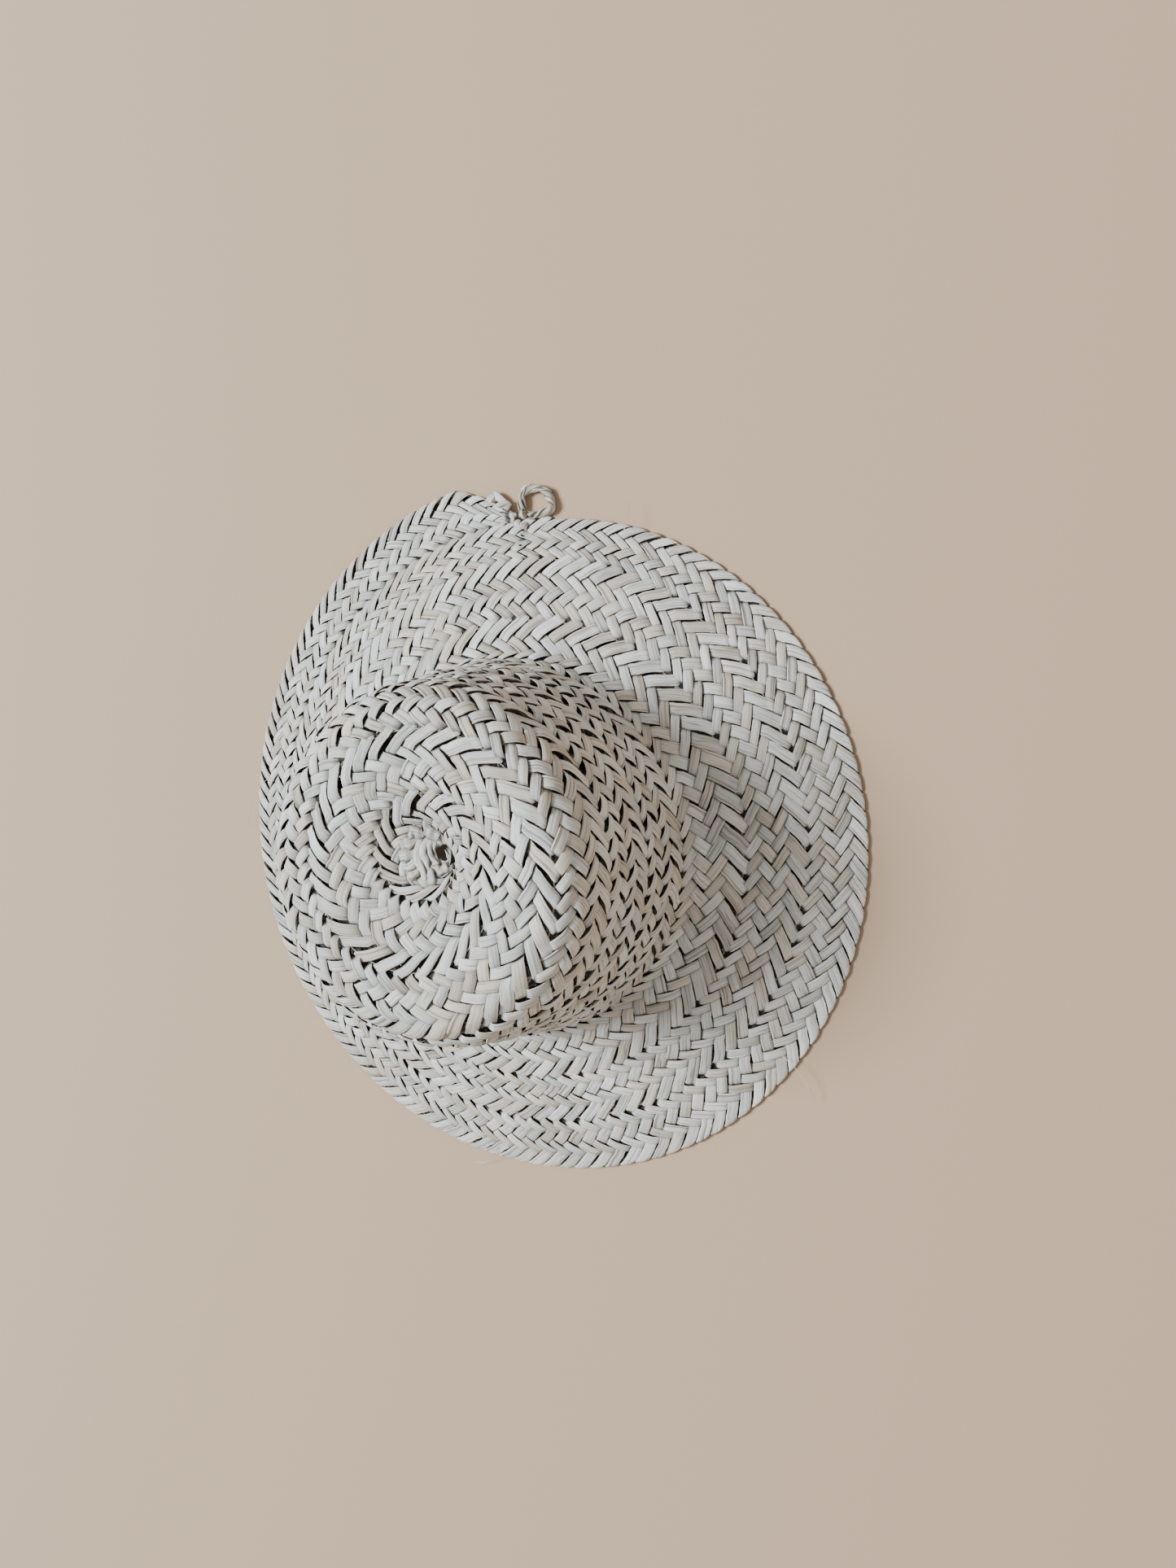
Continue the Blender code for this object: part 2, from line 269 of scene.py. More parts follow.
class Nodes:
    """A short way to build a material's node tree."""

    def __init__(self, name):
        self.material = bpy.data.materials.new(name)
        self.material.use_nodes = True
        self.tree = self.material.node_tree
        self.shader = self.tree.nodes["Principled BSDF"]

    def add(self, kind, settings=None, **inputs):
        node = self.tree.nodes.new(kind)
        for key, value in (settings or {}).items():
            setattr(node, key, value)
        for key, value in inputs.items():
            self.set(node.inputs[key.replace("_", " ")], value)
        return node

    def set(self, socket, value):
        if isinstance(value, bpy.types.NodeSocket):
            self.tree.links.new(value, socket)
        else:
            socket.default_value = value

    def attribute(self, name):
        return self.add("ShaderNodeAttribute", {"attribute_name": name}).outputs["Vector"]

    def parts(self, vector):
        return self.add("ShaderNodeSeparateXYZ", Vector=vector).outputs

    def math(self, operation, a, b=0.0):
        node = self.add("ShaderNodeMath", {"operation": operation})
        self.set(node.inputs[0], a)
        self.set(node.inputs[1], b)
        return node.outputs[0]

    def scaled(self, vector, scale):
        node = self.add("ShaderNodeVectorMath", {"operation": "MULTIPLY"})
        self.set(node.inputs[0], vector)
        self.set(node.inputs[1], scale)
        return node.outputs[0]

    def noise(self, vector, stretch, detail, roughness):
        node = self.add("ShaderNodeTexNoise", Scale=1.0, Detail=detail, Roughness=roughness)
        self.set(node.inputs["Vector"], self.scaled(vector, stretch))
        return node.outputs["Fac"]

    def ramp(self, value, first, last, low=0.0, high=1.0):
        node = self.add("ShaderNodeMapRange", {"interpolation_type": "SMOOTHSTEP"}, Value=value)
        limits = {"From Min": first, "From Max": last, "To Min": low, "To Max": high}
        for key, number in limits.items():
            node.inputs[key].default_value = number
        return node.outputs[0]

    def mix(self, share, first, second, blend="MIX"):
        node = self.add("ShaderNodeMix", {"data_type": "RGBA", "blend_type": blend})
        self.set(node.inputs[0], share)
        for socket, value in ((node.inputs[6], first), (node.inputs[7], second)):
            self.set(socket, (*value, 1.0) if isinstance(value, tuple) else value)
        return node.outputs[2]

    def bump(self, height, distance, strength):
        node = self.add("ShaderNodeBump", Height=height, Distance=distance, Strength=strength)
        return node.outputs["Normal"]


def palm_material(name, cool, warm, stain, edge, roughness):
    """Bleached palm leaf, from the meshes' own attributes. "leaf" holds the place across and along
    a strip, in millimetres, and a number of the strip's own. "tone" holds the strip's shade, how
    near an edge is, and the strip's warmth. A third attribute holds painted shade: it darkens the
    colour where a strip lies under the others, standing in for the shade in the gaps."""
    made = Nodes(name)
    leaf = made.attribute("leaf")
    shade, rim, warmth = made.parts(made.attribute("tone"))
    fibres = made.noise(leaf, (1.9, 0.03, 9.0), 3.0, 0.7)
    fine = made.noise(leaf, (5.0, 0.10, 9.0), 2.0, 0.6)
    blotches = made.noise(leaf, (0.10, 0.06, 5.0), 2.0, 0.5)
    colour = made.mix(made.ramp(warmth, 0.15, 0.95), cool, warm)
    colour = made.mix(made.ramp(blotches, 0.45, 0.75, 0.0, 0.6), colour, stain)
    lines = made.ramp(fibres, 0.32, 0.52, 0.60, 1.05)
    lines = made.math("MULTIPLY", lines, made.ramp(fine, 0.3, 0.6, 0.84, 1.05))
    lines = made.math("MULTIPLY", lines, made.ramp(shade, 0.0, 1.0, 0.80, 1.08))
    split = made.noise(leaf, (0.60, 0.012, 7.0), 1.0, 0.5)
    split = made.math("ABSOLUTE", made.math("SUBTRACT", split, 0.5))
    lines = made.math("MULTIPLY", lines, made.ramp(split, 0.0, 0.022, 0.52, 1.0))
    grey = made.add("ShaderNodeCombineColor", Red=lines, Green=lines, Blue=lines).outputs[0]
    colour = made.mix(1.0, colour, grey, "MULTIPLY")
    ragged = made.math("ADD", rim, made.ramp(fine, 0.2, 0.8, -0.18, 0.18))
    colour = made.mix(made.ramp(ragged, 0.45, 1.0, 0.0, 0.75), colour, edge)
    # painted shade: the colour is multiplied by the attribute of painted shade, which is dark where
    # a strip lies under the others
    colour = made.mix(1.0, colour, made.attribute("depth"), "MULTIPLY")
    made.set(made.shader.inputs["Base Color"], colour)
    made.shader.inputs["Roughness"].default_value = roughness
    made.shader.inputs["Specular IOR Level"].default_value = 0.35
    height = made.math("ADD", fibres, made.math("MULTIPLY", fine, 0.35))
    made.set(made.shader.inputs["Normal"], made.bump(height, 0.00022, 0.8))
    return made.material


PALM = palm_material(
    "palm_leaf",
    cool=(0.75, 0.765, 0.755), warm=(0.68, 0.62, 0.54), stain=(0.64, 0.64, 0.54),
    edge=(0.30, 0.20, 0.12), roughness=0.62,
)
PALM_LOOP = palm_material(
    "palm_leaf_twisted",
    cool=(0.68, 0.67, 0.62), warm=(0.60, 0.53, 0.42), stain=(0.56, 0.53, 0.42),
    edge=(0.26, 0.17, 0.10), roughness=0.55,
)
PALM_CORD = palm_material(
    "palm_cord_fibre",
    cool=(0.50, 0.45, 0.36), warm=(0.44, 0.36, 0.26), stain=(0.40, 0.36, 0.25),
    edge=(0.26, 0.18, 0.10), roughness=0.8,
)

# ---- the weave ------------------------------------------------------------------------------
# Along the plait the weave counts in half steps (X), and across it in ninths of its width (Y).
# A strand's run starts at one edge, over the others, crosses the plait in nine units of p and
# ends under the other edge, where the next run starts. Run number i starts at X = i, at the
# inner edge when i is even and at the outer edge when it is odd.

# the p at which a run has its rings, closer together where it bends: one set for each way in
# which a run starts, folded over the edge, standing out as a tooth or tucked under the next turn
FIRST_STATIONS = {
    "fold": [-0.5, -0.2, -0.1, 0.0, 0.1, 0.2, 0.5, 0.9],
    "tooth": [-0.72, -0.62, -0.5, -0.35, -0.15, 0.15, 0.5, 0.9],
    "tucked": [-0.2, 0.1, 0.3, 0.45, 0.6, 0.75, 0.9, 1.05],
}
LAST_STATIONS = [
    1.35, 1.8, 2.2, 2.4, 2.6, 2.8, 3.15, 3.5, 3.85, 4.2, 4.4, 4.6, 4.8, 5.15, 5.5, 5.85,
    6.2, 6.4, 6.6, 6.8, 7.2, 7.65, 8.1, 8.4,
]
LAYER = 0.00055  # how far a strand's middle is off the plait's middle, over or under
LEAF_THICKNESS = 0.00042

# the ways along the profile at which the weave's character is given, and that character
ZONES = [0.0, 0.05, 0.072, 0.09, 0.15, 0.168, 0.26]
HALF_STEP = [0.0040, 0.0045, 0.0044, 0.0043, 0.0042, 0.0041, 0.0040]
REFERENCE = [1.00, 0.64, 0.55, 0.50, 0.50, 0.50, 0.50]  # where across it the plait isn't stretched
BOW = [0.00080, 0.00085, 0.00095, 0.00105, 0.00105, 0.00060, 0.00052]  # a float's rise
CROWN = [0.00016, 0.00016, 0.00018, 0.00026, 0.00026, 0.00011, 0.00009]  # its edges' fall
FILL = [1.02, 1.00, 0.94, 0.90, 0.90, 0.955, 0.955]  # how wide a strand is in its ninth
UNEVEN = [2.2, 2.1, 1.9, 1.6, 1.5, 1.4, 1.4]  # how much each run differs from the others
LOOSE_SIDE = math.radians(135)  # where the rim's folds have worked loose the most
LOOSENING = 0.15
SHEAR = 0.20  # the outer edge lags behind the inner one, in X for each Y

TURN_GRID = np.linspace(FIRST_TURN - 0.12, 0.012, 6200)  # a little beyond both ends


def count_half_steps():
    """The plait's length in half steps up to each turn of the grid."""
    inner, outer = edges(TURN_GRID)
    middle = (inner + outer) / 2
    reference = inner + (outer - inner) * np.interp(middle, ZONES, REFERENCE)
    steps = 2 * math.pi * profile(reference)[0] / np.interp(middle, ZONES, HALF_STEP)
    return np.concatenate([[0], np.cumsum((steps[1:] + steps[:-1]) / 2 * np.diff(TURN_GRID))])


X_GRID = count_half_steps()
FIRST_X, LAST_X = np.interp((FIRST_TURN, TAIL_END), TURN_GRID, X_GRID)


def layer(p, start):
    """How far over (1) or under (-1) a strand is at p."""
    found = np.ones_like(p)
    for middle, sign in ((2.5, -1), (4.5, 1), (6.5, -1)):
        found = found + sign * 2 * smooth((p - middle) / 0.6 + 0.5)
    if start == "fold":
        return np.where(p < 0.2, np.sin(math.pi / 2 * np.clip(p / 0.2, -1, 1)), found)
    if start == "tucked":
        return found - 2 * smooth((0.95 - p) / 0.7)
    return found - 1.5 * smooth((-0.3 - p) / 0.5)


def float_bump(p):
    """A strand's bow between two crossings: 1 in the middle of each float, 0 at its ends."""
    found = np.zeros_like(p)
    for first, last in ((0.1, 2.5), (2.5, 4.5), (4.5, 6.5), (6.5, 8.9)):
        share = np.clip((p - first) / (last - first), 0, 1)
        found = found + np.sin(math.pi * share) ** 0.8 * ((p >= first) & (p < last))
    return found


def strand_run(number, rng, pieces):
    """One run of one strand, added to the pieces."""
    is_even = number % 2 == 0
    turn_here = np.interp(number - 4.5, X_GRID, TURN_GRID)
    if is_even:
        start = "tucked" if turn_here > FIRST_TURN + 1 else "fold"
    else:
        start = "tooth" if turn_here < -1 else "fold"
    p = np.array(FIRST_STATIONS[start] + LAST_STATIONS)
    keep = (number - p >= FIRST_X) & (number - p <= LAST_X)
    way_here = sum(edges(turn_here)) / 2
    bow, crown, fill, uneven = (np.interp(way_here, ZONES, v) for v in (BOW, CROWN, FILL, UNEVEN))

    # each run has two visible floats, whose own ways blend into each other under the crossing
    second = smooth(p - 3.0)

    def own(low, high):
        first, last = rng.uniform(low, high, 2)
        return first + (last - first) * second

    width = fill * (1 + uneven * own(-0.07, 0.04))
    if start == "fold" and not is_even:  # a fold at the rim
        angle = SEAM_ANGLE - 2 * math.pi * turn_here
        loose = LOOSENING * np.clip(np.cos(angle - LOOSE_SIDE), 0, 1)
        width = width * (1 - loose * smooth((3.2 - p) / 0.8))
    aside = uneven * own(-0.04, 0.04)
    bow = bow * (1 + uneven * own(-0.45, 0.45))
    lift = uneven * own(-0.00007, 0.00009)
    roll = uneven * own(-0.00008, 0.00022)
    skew = uneven * own(-0.035, 0.035)
    ledge_at = own(0.45, 0.8) * rng.choice([-1, 1]) * (0.3 if rng.random() < 0.2 else 1)
    has_ledge = rng.random(2) < 0.5
    ledges = has_ledge * rng.uniform(0.00008, 0.00020, 2) * rng.choice([-1, 1], 2)
    ledge = np.where(p < 3.5, *ledges)
    shade = own(0.0, 1.0)
    warmth = rng.random() ** 1.6
    if keep.sum() < 4:
        return

    # the section, from one edge over the outer face to the other edge and back under: u is the
    # place across, -1 to 1, and q the height off the leaf's own middle. A leaf folded along its
    # length has a ledge, a small step in its outer face at u = a.
    a = ledge_at[:, None]
    one = np.ones_like(a)
    u = np.concatenate([
        -one, -0.9 * one, (a - 0.9) / 2, a - 0.03, a + 0.03, (a + 0.9) / 2, 0.9 * one, one,
        0.8 * one, 0 * one, -0.8 * one,
    ], 1)
    q = np.array([0, 1, 1, 1, 1, 1, 1, 0, -1, -1, -1]) * LEAF_THICKNESS / 2 + 0 * u
    q[:, 1:7] += np.where(np.sign(ledge)[:, None] * (u - a)[:, 1:7] > 0, abs(ledge)[:, None], 0)
    rim = np.zeros_like(u)
    rim[:, [0, 7]] = 1
    rim[:, 8:] = 0.3
    for raised, low_side in ((ledge > 0, 3), (ledge < 0, 4)):
        rim[raised, low_side] = 1

    # the run's place in the weave: c is how much it has turned into the edge's fold, where its
    # width lies along the plait, and w the place across it in the weave's units
    p = p[:, None]
    from_edge = np.minimum(abs(p), 9 - p)
    c = 1 - smooth((from_edge - 0.2) / 0.9) if start == "fold" else 0 * p
    inner, outer = edges(turn_here)
    middle_radius = profile((inner + outer) / 2)[0]
    y_line = np.clip(p if is_even else 9 - p, 0, 9)
    radius = profile(inner + (outer - inner) * y_line / 9)[0]
    narrowed = np.clip((middle_radius / np.maximum(radius, 0.002)) ** 0.4, 0.7, 1.35)
    w = u / 2 * width[:, None] * narrowed + aside[:, None] * (1 - c)
    w = w + skew[:, None] * (float_bump(p) > 0) * np.cos(math.pi * (p % 2.0 - 0.5) / 2) * (1 - c)
    w = w * (1 - 0.35 * smooth((-0.45 - p) / 0.3))
    x = number - (p - (1 + c) * w)
    y = p + (1 - c) * w
    fold = np.full_like(p, math.pi / 2)
    if start == "fold":
        fold = math.pi / 2 * np.clip(p / 0.2, -1, 1)
        y = np.where(abs(p) < 0.21, 0.2 - 0.14 * np.cos(fold), abs(y))
        y = y + 0.16 * u ** 2 * (1 - smooth(from_edge / 0.7))
    x = x - SHEAR * ((y if is_even else 9 - y) - 4.5)
    over = layer(p, start)
    height = over * (LAYER + lift[:, None] + bow[:, None] * float_bump(p) - crown * u ** 2)
    height = height + roll[:, None] * u * over
    height = height + q * np.sin(fold)
    turn = np.interp(np.clip(x, 0, X_GRID[-1]), X_GRID, TURN_GRID)
    inner, outer = edges(turn)
    ninth = (outer - inner) / 9
    y = y - q * np.cos(fold) / np.maximum(ninth, 0.0005)
    way = inner + ninth * y if is_even else outer - ninth * y
    rings = place(turn, way, height)[keep]
    rings[..., 2] = np.maximum(rings[..., 2], FLOOR_CLEARANCE)

    leaf = np.stack([u * 2.7, p * 5.2 + 0 * u, 0 * u + rng.random() * 40], -1)
    seen = np.where(np.arange(11) < 8, height, -height)  # how far out each face is, on its side
    # painted shade: each face is darkened, down to 0.03 of its colour, as far as it lies under the
    # strands over it, standing in for the shade in the gaps
    light = 0.03 + 0.97 * smooth((seen + 0.0004) / 0.0009)
    tone = np.stack([shade[:, None] + 0 * u, rim, warmth + 0 * u], -1)
    depth = np.stack([light, light, light], -1)
    pieces.add(rings, is_even, leaf=leaf[keep], tone=tone[keep], depth=depth[keep])


def weave():
    """All the runs, one piece for each turn of the plait."""
    rng = np.random.default_rng(5)
    numbers = np.arange(int(FIRST_X), int(LAST_X) + 9)
    turns = np.interp(np.clip(numbers - 4.5, 0, X_GRID[-1]), X_GRID, TURN_GRID)
    for name, first, last in TURNS:
        chosen = (turns >= first) & (turns < last)
        if name == "rim_turn":
            chosen = turns >= first
        pieces = Pieces()
        for number in numbers[chosen]:
            strand_run(int(number), rng, pieces)
        finished(pieces, "woven_" + name, PALM, name, "hat")


weave()

# ---- ribbons and cords ----------------------------------------------------------------------


def curve_through(points, steps):
    """A smooth curve (Catmull-Rom) through the given points."""
    points = [np.array(point, float) for point in points]
    padded = [points[0] * 2 - points[1], *points, points[-1] * 2 - points[-2]]
    found = []
    for a, b, c, d in zip(padded, padded[1:], padded[2:], padded[3:]):
        for x in np.arange(steps) / steps:
            found.append(0.5 * (
                2 * b + (c - a) * x + (2 * a - 5 * b + 4 * c - d) * x ** 2
                + (3 * b - a - 3 * c + d) * x ** 3
            ))
    return np.array([*found, points[-1]])


def unit(vectors):
    """The vectors, each made one long."""
    return vectors / np.maximum(np.linalg.norm(vectors, axis=-1, keepdims=True), 1e-12)


def lengths(path):
    """How far along the path each of its points is."""
    return np.concatenate([[0], np.cumsum(np.linalg.norm(np.diff(path, axis=0), axis=1))])


# a ribbon's section, across it and off its middle, as shares of its half width and thickness
RIBBON_U = np.array([-1, -0.96, -0.48, 0, 0.48, 0.96, 1, 0.8, 0, -0.8])
RIBBON_Q = np.array([0, 1, 1, 1, 1, 1, 0, -1, -1, -1]) / 2


def ribbon(pieces, path, normals, half_width, rng, crown, edge_shade=0.4, thickness=LEAF_THICKNESS):
    """A leaf strip along a path, which faces along the normals. Its edges fall back by the crown, a
    share of its half width, and are darkened by painted shade, by the given share at the very edge."""
    along = unit(np.gradient(path, axis=0))
    side = unit(np.cross(along, normals))
    out = np.cross(side, along)
    half_width = np.broadcast_to(half_width, len(path))[:, None]
    back = crown * half_width * abs(RIBBON_U) ** 1.3
    across = (half_width * RIBBON_U)[..., None] * side[:, None]
    rings = path[:, None] + across + (thickness * RIBBON_Q - back)[..., None] * out[:, None]
    u = np.broadcast_to(RIBBON_U, back.shape)
    way = np.broadcast_to(lengths(path)[:, None] * 1000, back.shape)
    leaf = np.stack([u * half_width * 1000, way, 0 * u + rng.random() * 40], -1)
    tone = np.stack([0 * u + rng.random(), abs(u) ** 8, 0 * u + rng.random() ** 1.2], -1)
    # painted shade: darker towards both edges of the strip, standing in for the shade between
    # crowded strips
    light = 1 - edge_shade * abs(u[..., None]) ** 2.5 + np.zeros(3)
    pieces.add(rings, True, leaf=leaf, tone=tone, depth=light)


CORD_RADIUS = 0.00040
CORD_PITCH = 0.0032
CORD_PLIES = 2
CORD_STEP = 0.0011


def twisted_cord(pieces, path, normals, rng):
    """A cord of round plies laid round each other."""
    along = unit(np.gradient(path, axis=0))
    side = unit(np.cross(along, normals))
    out = np.cross(side, along)
    way = lengths(path)
    ring = np.linspace(0, 2 * math.pi, 6, endpoint=False)
    for ply in range(CORD_PLIES):
        phase = 2 * math.pi * (way / CORD_PITCH + ply / CORD_PLIES)
        aside = np.cos(phase)[:, None] * side + np.sin(phase)[:, None] * out
        middle = path + CORD_RADIUS / 2 * aside
        cos, sin = np.cos(ring)[None, :, None], np.sin(ring)[None, :, None]
        spread = cos * side[:, None] + sin * out[:, None]
        rings = middle[:, None] + CORD_RADIUS * 0.55 * spread
        leaf = np.stack(np.broadcast_arrays(ring * 0.3, way[:, None] * 1000, rng.random() * 40), -1)
        tone = np.broadcast_to((rng.random(), 0.0, rng.random()), leaf.shape)
        pieces.add(rings, False, leaf=leaf, tone=tone, depth=np.ones_like(leaf))


def seam_cords():
    """The cord that sews each turn to the one inside it, run through the folds of both edges."""
    rng = np.random.default_rng(11)
    for name, first, last in TURNS[1:]:
        first = max(first, FIRST_TURN + 1)
        radius = float(profile(edges((first + last) / 2)[0])[0])
        count = int(2 * math.pi * radius * (last - first) / CORD_STEP)
        turns = np.linspace(first, last, count)
        way = edges(turns)[0]
        path = place(turns, way, 0.0)
        normals = place(turns, way, 0.001) - path
        pieces = Pieces()
        twisted_cord(pieces, path, normals, rng)
        node = "seam_cord_" + name.replace("_turn", "")
        finished(pieces, "twisted_" + node, PALM_CORD, node, "hat")


seam_cords()

# ---- the gathered tip, the plait's end, the loop and the stray fibres -----------------------
# Their strips' routes are in millimetres: on the tip from its gathered middle, at the rim from
# the middle of the brim.


def tapered(count, width, first=0.0, last=0.0):
    """Half widths along a strip that narrows towards its ends by the given shares."""
    x = np.linspace(0, 1, count)
    narrow = 1 - first * (1 - smooth(x / 0.35)) - last * smooth((x - 0.65) / 0.35)
    return width / 2 * narrow


GATHERED = [
    # route, width, height at each end and in the middle, narrowing at each end, crown
    ([(-12.6, 8.6), (-9.6, 9.0), (-5.8, 7.4)], 5.6, (0.9, 1.5, 0.7), (0.0, 0.5), 0.12),
    ([(-16.6, 2.6), (-13.4, 3.8), (-9.6, 5.0)], 5.8, (0.8, 1.4, 0.7), (0.0, 0.8), 0.12),
    ([(-17.4, -1.8), (-13.8, -1.2), (-9.8, 1.6)], 5.6, (0.8, 1.7, 0.8), (0.0, 0.8), 0.14),
    ([(-15.8, -6.2), (-12.6, -5.4), (-9.2, -2.4)], 5.2, (0.7, 1.5, 0.8), (0.0, 0.7), 0.14),
    ([(-13.8, -10.4), (-10.8, -9.2), (-8.2, -6.0)], 5.0, (0.7, 1.4, 0.7), (0.0, 0.7), 0.12),
    (
        [(-7.6, 7.2), (-9.8, 1.8), (-9.0, -3.4), (-6.6, -8.6), (-6.2, -13.6)],
        4.4, (0.2, 2.0, 0.4), (0.3, 0.3), 0.30,
    ),
    (
        [(-4.8, 7.0), (-6.6, 1.8), (-5.8, -3.0), (-4.0, -7.6)],
        4.2, (0.3, 2.6, 0.6), (0.2, 0.5), 0.34,
    ),
    ([(-2.2, 6.6), (-3.8, 1.8), (-2.8, -2.0), (0.6, -4.6)], 3.2, (0.3, 2.2, 0.5), (0.2, 0.5), 0.38),
    ([(-0.4, 6.2), (-1.9, 2.4), (-1.6, -0.8), (0.4, -3.8)], 1.9, (0.4, 1.2, 0.2), (0.1, 0.6), 0.40),
    ([(-5.0, -6.8), (-2.8, -9.4), (-2.4, -13.2)], 5.0, (0.7, 1.4, 0.7), (0.4, 0.1), 0.14),
    ([(-4.8, 10.4), (-2.0, 8.8), (1.6, 7.0)], 5.6, (0.9, 1.5, 0.9), (0.1, 0.2), 0.12),
    ([(5.4, -5.0), (1.4, -6.8), (-3.0, -6.6)], 5.0, (0.7, 1.4, 0.5), (0.1, 0.4), 0.14),
]


def gathered_tip():
    """The strips of the plait's start, gathered and crumpled beside the hole in the tip."""
    rng = np.random.default_rng(7)
    pieces = Pieces()
    for route, width, (first, middle, last), (narrow_first, narrow_last), crown in GATHERED:
        path = curve_through([(*point, 0) for point in route], 9)
        x = np.linspace(0, 1, len(path))
        lift = np.interp(x, (0, 0.5, 1), (first, middle, last)) / 1000
        wave = rng.uniform(0.0001, 0.0003) * np.sin(x * rng.uniform(8, 14) + rng.random() * 6)
        points = on_tip(path[:, :2], 0.0013 + lift + wave)
        normals = np.zeros_like(points)
        normals[:, 2] = 1
        normals[:, :2] = 0.5 * np.sin(x * 7 + rng.random() * 6)[:, None] * rng.uniform(-1, 1, 2)
        half = tapered(len(path), width / 1000, narrow_first, narrow_last)
        half = half * (1 + 0.08 * np.sin(x * rng.uniform(9, 16)))
        ribbon(pieces, points, normals, half, rng, crown, 0.6)
    finished(pieces, "gathered_tip_strips", PALM, None, "hat")


END_STRIPS = [
    # route with heights, width, narrowing at each end, crown
    ([(-27.6, 161.6, 2.7), (-24.8, 166.4, 3.9), (-22.3, 170.0, 3.0)], 4.2, (0.0, 0.4), 0.06),
    ([(-23.2, 170.4, 2.8), (-19.6, 167.9, 3.4), (-15.4, 164.4, 3.0)], 3.9, (0.4, 0.2), 0.06),
    (
        [(-25.4, 160.9, 3.0), (-19.6, 163.6, 4.7), (-15.0, 164.8, 3.9), (-12.9, 163.6, 2.2)],
        2.6, (0.2, 0.4), 0.2,
    ),
    ([(-21.6, 156.2, 2.9), (-17.6, 160.2, 3.9), (-14.8, 164.2, 3.2)], 5.0, (0.1, 0.2), 0.08),
    ([(-19.2, 153.4, 3.0), (-15.6, 157.4, 3.9), (-12.9, 161.0, 3.1)], 4.8, (0.1, 0.2), 0.08),
    ([(-17.0, 158.8, 3.2), (-15.0, 161.6, 4.4), (-13.4, 164.0, 3.0)], 3.4, (0.1, 0.3), 0.2),
    ([(-14.8, 156.2, 3.0), (-12.0, 158.0, 4.4), (-9.6, 158.8, 3.0)], 3.4, (0.1, 0.4), 0.2),
    ([(-9.6, 151.8, 3.0), (-8.8, 154.2, 4.3), (-7.9, 156.0, 2.9)], 3.2, (0.1, 0.4), 0.2),
    ([(-23.4, 158.6, 3.2), (-17.2, 158.2, 4.6), (-11.6, 156.0, 3.4)], 4.2, (0.2, 0.3), 0.12),
    ([(-11.8, 152.2, 3.0), (-11.5, 156.2, 4.4), (-11.7, 160.0, 3.2)], 3.0, (0.2, 0.4), 0.2),
    ([(-5.2, 150.4, 3.0), (-4.8, 152.4, 4.2), (-3.8, 154.4, 3.0)], 3.6, (0.1, 0.4), 0.12),
]


def plait_end():
    """The plait's end: its last strips, gathered towards the loop, one folded over the edge."""
    rng = np.random.default_rng(3)
    pieces = Pieces()
    for route, width, narrow, crown in END_STRIPS:
        path = curve_through(route, 9) / 1000 + CENTRE
        normals = np.zeros_like(path)
        normals[:, 2] = 1
        normals[:, :2] = rng.uniform(-0.25, 0.25, 2)
        ribbon(pieces, path, normals, tapered(len(path), width / 1000, *narrow), rng, crown, 0.3)
    finished(pieces, "folded_plait_end", PALM, "plait_end_fold", "hat")


LOOP_ROUTE = [
    (-6.3, 161.3, 2.5), (-6.7, 164.6, 2.6), (-6.3, 168.2, 2.7), (-2.4, 170.6, 2.6),
    (2.6, 170.9, 2.5), (6.9, 168.7, 2.5), (9.5, 164.8, 2.5), (9.7, 161.0, 2.5),
    (6.7, 159.0, 2.4), (2.2, 158.2, 2.4), (-2.6, 158.1, 2.4),
]
LOOP_TIP_ROUTE = [(-6.6, 168.6, 3.6), (-4.8, 171.4, 4.2), (-1.4, 173.0, 3.6)]
KNOT_PLACE = (-6.0, 158.6, 2.6)
KNOT_BANDS = [
    # axis, radius, width, place along the axis
    ((0.25, 1.0, 0.1), 0.00205, 0.0026, -0.0003),
    ((1.0, 0.3, 0.2), 0.00225, 0.0024, 0.0002),
    ((0.7, -0.7, 0.3), 0.00185, 0.0030, 0.0),
    ((0.1, 0.1, 1.0), 0.00170, 0.0026, 0.0),
]


def wound(pieces, path, radius, pitch, starts, width, rng, crown):
    """Strips wound round a level path, a little unevenly, from the given shares of a turn."""
    along = unit(np.gradient(path, axis=0))
    up = np.broadcast_to((0.0, 0.0, 1.0), path.shape)
    side = unit(np.cross(along, up))
    up = np.cross(side, along)
    way = lengths(path)
    for start in starts:
        phase = 2 * math.pi * (way / pitch + start) + 0.35 * np.sin(way * 420 + start * 9)
        normals = np.cos(phase)[:, None] * side + np.sin(phase)[:, None] * up
        out = radius * (1 + 0.10 * np.sin(way * 900 + start * 20))
        half = tapered(len(path), width, 0.45, 0.45) * (1 + 0.10 * np.sin(way * 650 + start * 31))
        ribbon(pieces, path + out[:, None] * normals, normals, half, rng, crown, 0.75)


def hanging_loop():
    """Two broad strips and two narrow ones twisted round a core into a stiff eye, and the end
    of one that stands off it."""
    rng = np.random.default_rng(9)
    path = curve_through(LOOP_ROUTE, 14) / 1000 + CENTRE
    pieces = Pieces()
    wound(pieces, path, 0.00155, 0.0200, (0.10, 0.60), 0.0046, rng, 0.42)
    wound(pieces, path, 0.00190, 0.0200, (0.36, 0.88), 0.0024, rng, 0.30)
    wound(pieces, path, 0.00070, 0.0110, (0.0, 0.5), 0.0026, rng, 0.30)
    tip = curve_through(LOOP_TIP_ROUTE, 9) / 1000 + CENTRE
    up = np.broadcast_to((0.1, 0.1, 1.0), tip.shape)
    ribbon(pieces, tip, up, tapered(len(tip), 0.0024, 0.3, 0.95), rng, 0.3)
    finished(pieces, "twisted_hanging_loop", PALM_LOOP, "hanging_loop", "loop")


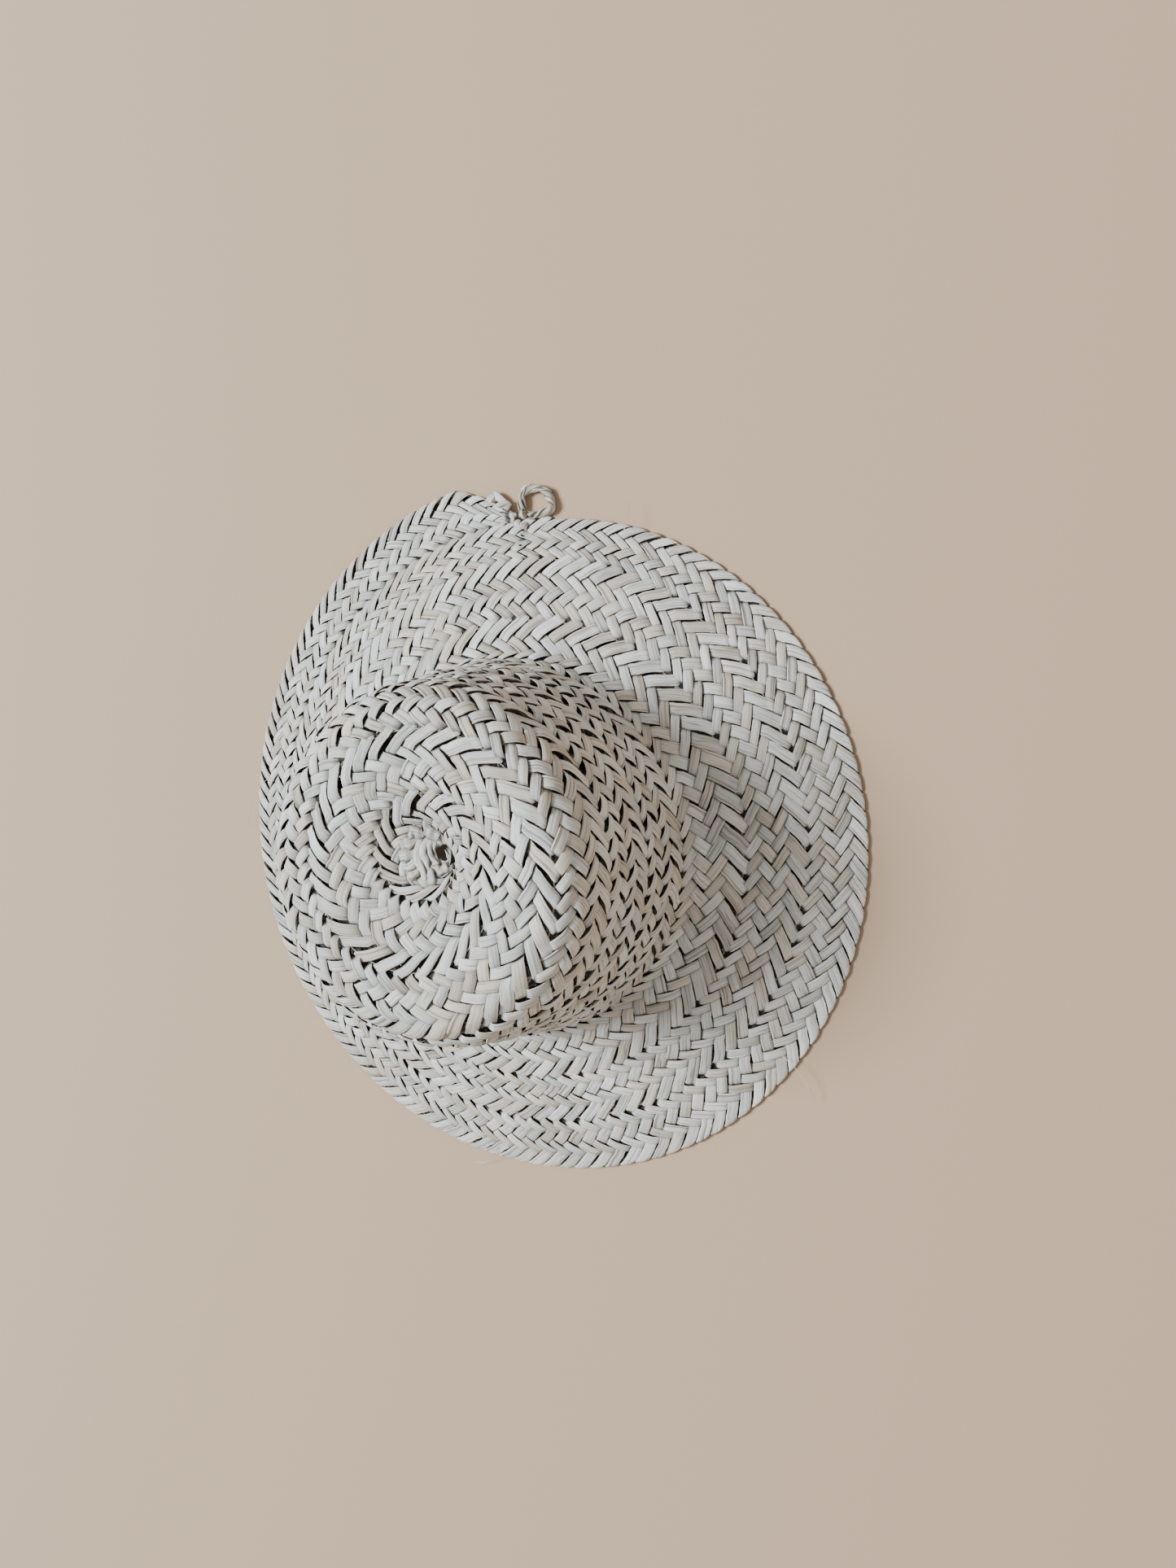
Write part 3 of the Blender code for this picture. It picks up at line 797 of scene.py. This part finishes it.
def loop_knot():
    """The knot at the loop's foot: strips bound round each other in four directions."""
    rng = np.random.default_rng(4)
    middle = np.array(KNOT_PLACE) / 1000 + CENTRE
    pieces = Pieces()
    around = np.linspace(0, 2 * math.pi, 40, endpoint=False)
    for axis, radius, width, offset in KNOT_BANDS:
        axis = unit(np.array(axis))
        first = unit(np.cross(axis, (0.3, 0.2, 1.0)))
        second = np.cross(axis, first)
        normals = np.cos(around)[:, None] * first + np.sin(around)[:, None] * second
        path = middle + radius * normals + offset * axis
        ribbon(pieces, path, normals, width / 2, rng, 0.35, 0.6)
    finished(pieces, "bound_loop_knot", PALM_LOOP, "loop_knot", "knot")


FIBRE_WIDTH = 0.00026
FIBRE_THICKNESS = 0.00016
FIBRES = [
    [(-165.0, 24.0, 3.0), (-172.0, 19.0, 6.0), (-179.0, 9.0, 6.0), (-184.0, -5.0, 3.0)],
    [(128.0, -98.0, 3.0), (137.0, -104.0, 6.0), (143.0, -113.0, 5.0), (145.0, -118.0, 3.0)],
    [(46.0, 142.0, 4.0), (52.0, 150.0, 8.0), (53.0, 160.0, 7.0)],
    [(-22.0, -168.0, 3.0), (-27.0, -175.0, 5.0), (-36.0, -178.0, 3.0)],
]


def stray_fibres():
    """A few hair-thin fibres that stand off the brim."""
    rng = np.random.default_rng(2)
    pieces = Pieces()
    for route in FIBRES:
        path = curve_through(route, 12) / 1000 + CENTRE
        normals = np.broadcast_to((0.2, 0.1, 1.0), path.shape)
        half = tapered(len(path), FIBRE_WIDTH, 0.0, 0.6)
        ribbon(pieces, path, normals, half, rng, 0.3, 0.0, FIBRE_THICKNESS)
    finished(pieces, "stray_fibres", PALM, None, "hat")


gathered_tip()
plait_end()
hanging_loop()
loop_knot()
stray_fibres()

# ---- camera, light and floor ----------------------------------------------------------------


FLOOR_HALF_SIDE = 8.0
CAMERA_PLACE = (0.2663, 0.0647, 0.5102)
CAMERA_SIDEWAYS = math.radians(24.5)  # turned about Y, away from straight down
CAMERA_TILT = math.radians(-4.1)  # and then about its own X


def camera():
    """A camera that looks down on the hat from its right side, with the loop at the top."""
    data = bpy.data.cameras.new("camera")
    data.lens = 26
    data.sensor_width = 36
    obj = bpy.data.objects.new("camera", data)
    obj.location = CAMERA_PLACE
    sideways = Euler((0, CAMERA_SIDEWAYS, 0)).to_matrix()
    obj.rotation_euler = (sideways @ Euler((CAMERA_TILT, 0, 0)).to_matrix()).to_euler()
    bpy.context.scene.collection.objects.link(obj)
    bpy.context.scene.camera = obj


def area_light(name, location, target, size, watts, colour):
    """A round soft light that points at the target."""
    data = bpy.data.lights.new(name, "AREA")
    data.shape = "DISK"
    data.size = size
    data.energy = watts
    data.color = colour
    obj = bpy.data.objects.new(name, data)
    obj.location = location
    obj.rotation_euler = (Vector(target) - Vector(location)).to_track_quat("-Z", "Y").to_euler()
    bpy.context.scene.collection.objects.link(obj)


def floor():
    """The plain pale surface that the hat lies on."""
    made = Nodes("floor")
    made.shader.inputs["Base Color"].default_value = (0.54, 0.39, 0.27, 1)
    made.shader.inputs["Roughness"].default_value = 0.9
    points = FLOOR_HALF_SIDE * np.array([(-1, -1, 0), (1, -1, 0), (1, 1, 0), (-1, 1, 0)])
    obj = mesh_object("floor", points, [np.array([[0, 1, 2, 3]])], made.material)


def world():
    """The even light of the room."""
    made = bpy.data.worlds.new("world")
    made.use_nodes = True
    background = made.node_tree.nodes["Background"]
    background.inputs["Color"].default_value = (1.0, 0.97, 0.93, 1)
    background.inputs["Strength"].default_value = 0.45
    bpy.context.scene.world = made


camera()
area_light("window", (-2.8, 0.45, 3.2), (0, 0, 0.05), 1.7, 322, (0.93, 0.985, 1.0))
area_light("bounce", (4.2, -0.8, 1.3), (0, 0, 0.0), 2.4, 26, (1.0, 0.74, 0.50))
world()
floor()
